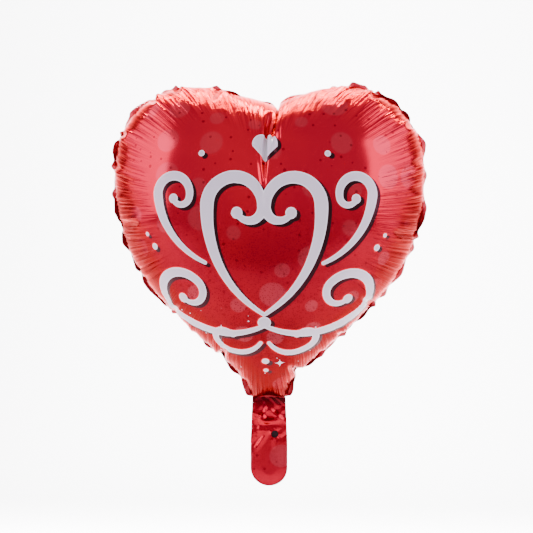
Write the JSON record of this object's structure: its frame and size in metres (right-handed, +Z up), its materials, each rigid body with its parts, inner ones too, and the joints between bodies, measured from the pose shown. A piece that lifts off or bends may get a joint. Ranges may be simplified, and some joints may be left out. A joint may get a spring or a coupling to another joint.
{
  "type": "heart-shaped foil balloon",
  "caption": "Inflated heart-shaped balloon of welded metallised film panels with a flat hanging tail, a filling port and a self-closing film valve.",
  "frame": {"origin": "the tie line, where the tail leaves the tip of the heart, on the middle plane between the two panels", "axes": "+X to the right seen from the printed front, -Y out of the printed front, +Z up to the lobes"},
  "size_m": [0.376, 0.198, 0.479],
  "materials": {
    "printed_red_foil": "metallised film printed in transparent red, high gloss",
    "plain_red_foil": "metallised film in plain transparent red, high gloss",
    "clear_valve_film": "thin translucent film with a dark printed patch"
  },
  "bodies": {
    "envelope": {"front_panel": "printed_red_foil", "back_panel": "plain_red_foil", "valve_front_throat": "clear_valve_film", "valve_back_throat": "clear_valve_film"},
    "tail": {"tail_front_ply": "printed_red_foil", "tail_back_ply": "plain_red_foil", "valve_front_inlet": "clear_valve_film", "valve_back_inlet": "clear_valve_film"},
    "tail_end": {"tail_end_front_ply": "printed_red_foil", "tail_end_back_ply": "plain_red_foil"},
    "valve_front": {"valve_front_flap": "clear_valve_film"},
    "valve_back": {"valve_back_flap": "clear_valve_film"}
  },
  "joints": [
    {"name": "tail_bend", "type": "hinge", "parent": "envelope", "child": "tail", "pos_m": [0, 0, 0], "axis": [1, 0, 0], "range_deg": [-90, 90]},
    {"name": "tail_end_fold", "type": "hinge", "parent": "tail", "child": "tail_end", "pos_m": [0, 0, -0.072], "axis": [1, 0, 0], "range_deg": [-120, 120]},
    {"name": "valve_front_open", "type": "hinge", "parent": "envelope", "child": "valve_front", "pos_m": [0, -0.0002, 0.01292], "axis": [1, 0, 0], "range_deg": [0, 12], "stiffness_Nm_per_rad": 0.001},
    {"name": "valve_back_open", "type": "hinge", "parent": "envelope", "child": "valve_back", "pos_m": [0, 0.0002, 0.01292], "axis": [1, 0, 0], "range_deg": [-12, 0], "stiffness_Nm_per_rad": 0.001}
  ],
  "couplings": [
    {"joint": "valve_back_open", "follows": "valve_front_open", "ratio": -1}
  ]
}
